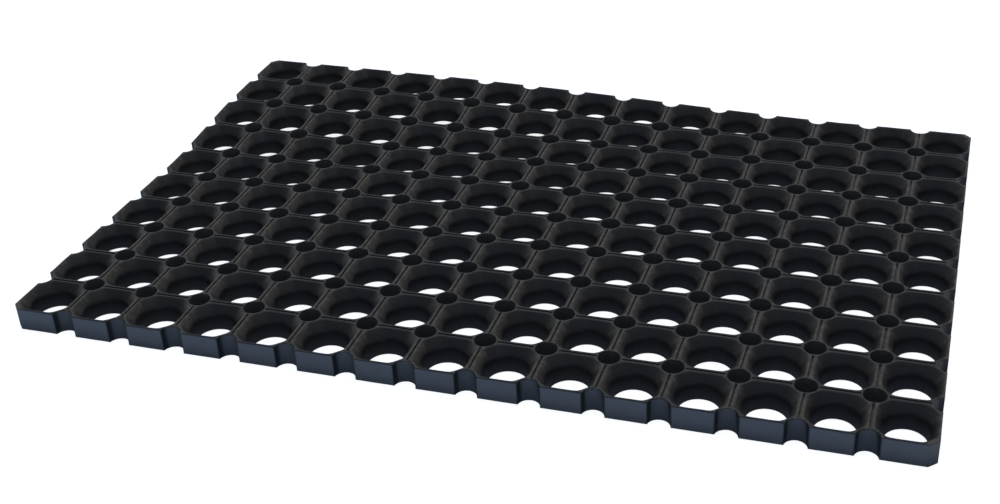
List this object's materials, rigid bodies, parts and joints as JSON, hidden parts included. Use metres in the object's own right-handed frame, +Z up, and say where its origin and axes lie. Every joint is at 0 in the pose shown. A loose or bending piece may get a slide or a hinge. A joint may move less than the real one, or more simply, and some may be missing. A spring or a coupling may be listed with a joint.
{
  "type": "door mat",
  "caption": "Black moulded rubber door mat with an open lattice of funnel-shaped cells; it bends and rolls up along moulded flex grooves.",
  "frame": {"origin": "middle of the underside, on the surface that the mat lies on", "axes": "+X along the long side, +Y from the front edge to the back edge, +Z up out of the tread"},
  "size_m": [0.598, 0.398, 0.016],
  "materials": {
    "black_rubber": "matt moulded rubber"
  },
  "bodies": {
    "strip_01": {"cell_strip_01": "black_rubber"},
    "strip_02": {"cell_strip_02": "black_rubber"},
    "strip_03": {"cell_strip_03": "black_rubber"},
    "strip_04": {"cell_strip_04": "black_rubber"},
    "strip_05": {"cell_strip_05": "black_rubber"},
    "strip_06": {"cell_strip_06": "black_rubber"},
    "strip_07": {"cell_strip_07": "black_rubber"},
    "strip_08": {"cell_strip_08": "black_rubber"},
    "strip_09": {"cell_strip_09": "black_rubber"},
    "strip_10": {"cell_strip_10": "black_rubber"},
    "strip_11": {"cell_strip_11": "black_rubber"},
    "strip_12": {"cell_strip_12": "black_rubber"},
    "strip_13": {"cell_strip_13": "black_rubber"},
    "strip_14": {"cell_strip_14": "black_rubber"},
    "strip_15": {"cell_strip_15": "black_rubber"}
  },
  "joints": [
    {"name": "groove_hinge_01", "type": "hinge", "parent": "strip_02", "child": "strip_01", "pos_m": [-0.26, 0, 0.014], "axis": [0, 1, 0], "range_deg": [0, 24], "stiffness_Nm_per_rad": 3},
    {"name": "groove_hinge_02", "type": "hinge", "parent": "strip_03", "child": "strip_02", "pos_m": [-0.22, 0, 0.014], "axis": [0, 1, 0], "range_deg": [0, 24], "stiffness_Nm_per_rad": 3},
    {"name": "groove_hinge_03", "type": "hinge", "parent": "strip_04", "child": "strip_03", "pos_m": [-0.18, 0, 0.014], "axis": [0, 1, 0], "range_deg": [0, 24], "stiffness_Nm_per_rad": 3},
    {"name": "groove_hinge_04", "type": "hinge", "parent": "strip_05", "child": "strip_04", "pos_m": [-0.14, 0, 0.014], "axis": [0, 1, 0], "range_deg": [0, 24], "stiffness_Nm_per_rad": 3},
    {"name": "groove_hinge_05", "type": "hinge", "parent": "strip_06", "child": "strip_05", "pos_m": [-0.1, 0, 0.014], "axis": [0, 1, 0], "range_deg": [0, 24], "stiffness_Nm_per_rad": 3},
    {"name": "groove_hinge_06", "type": "hinge", "parent": "strip_07", "child": "strip_06", "pos_m": [-0.06, 0, 0.014], "axis": [0, 1, 0], "range_deg": [0, 24], "stiffness_Nm_per_rad": 3},
    {"name": "groove_hinge_07", "type": "hinge", "parent": "strip_08", "child": "strip_07", "pos_m": [-0.02, 0, 0.014], "axis": [0, 1, 0], "range_deg": [0, 24], "stiffness_Nm_per_rad": 3},
    {"name": "groove_hinge_08", "type": "hinge", "parent": "strip_08", "child": "strip_09", "pos_m": [0.02, 0, 0.014], "axis": [0, -1, 0], "range_deg": [0, 24], "stiffness_Nm_per_rad": 3},
    {"name": "groove_hinge_09", "type": "hinge", "parent": "strip_09", "child": "strip_10", "pos_m": [0.06, 0, 0.014], "axis": [0, -1, 0], "range_deg": [0, 24], "stiffness_Nm_per_rad": 3},
    {"name": "groove_hinge_10", "type": "hinge", "parent": "strip_10", "child": "strip_11", "pos_m": [0.1, 0, 0.014], "axis": [0, -1, 0], "range_deg": [0, 24], "stiffness_Nm_per_rad": 3},
    {"name": "groove_hinge_11", "type": "hinge", "parent": "strip_11", "child": "strip_12", "pos_m": [0.14, 0, 0.014], "axis": [0, -1, 0], "range_deg": [0, 24], "stiffness_Nm_per_rad": 3},
    {"name": "groove_hinge_12", "type": "hinge", "parent": "strip_12", "child": "strip_13", "pos_m": [0.18, 0, 0.014], "axis": [0, -1, 0], "range_deg": [0, 24], "stiffness_Nm_per_rad": 3},
    {"name": "groove_hinge_13", "type": "hinge", "parent": "strip_13", "child": "strip_14", "pos_m": [0.22, 0, 0.014], "axis": [0, -1, 0], "range_deg": [0, 24], "stiffness_Nm_per_rad": 3},
    {"name": "groove_hinge_14", "type": "hinge", "parent": "strip_14", "child": "strip_15", "pos_m": [0.26, 0, 0.014], "axis": [0, -1, 0], "range_deg": [0, 24], "stiffness_Nm_per_rad": 3}
  ]
}
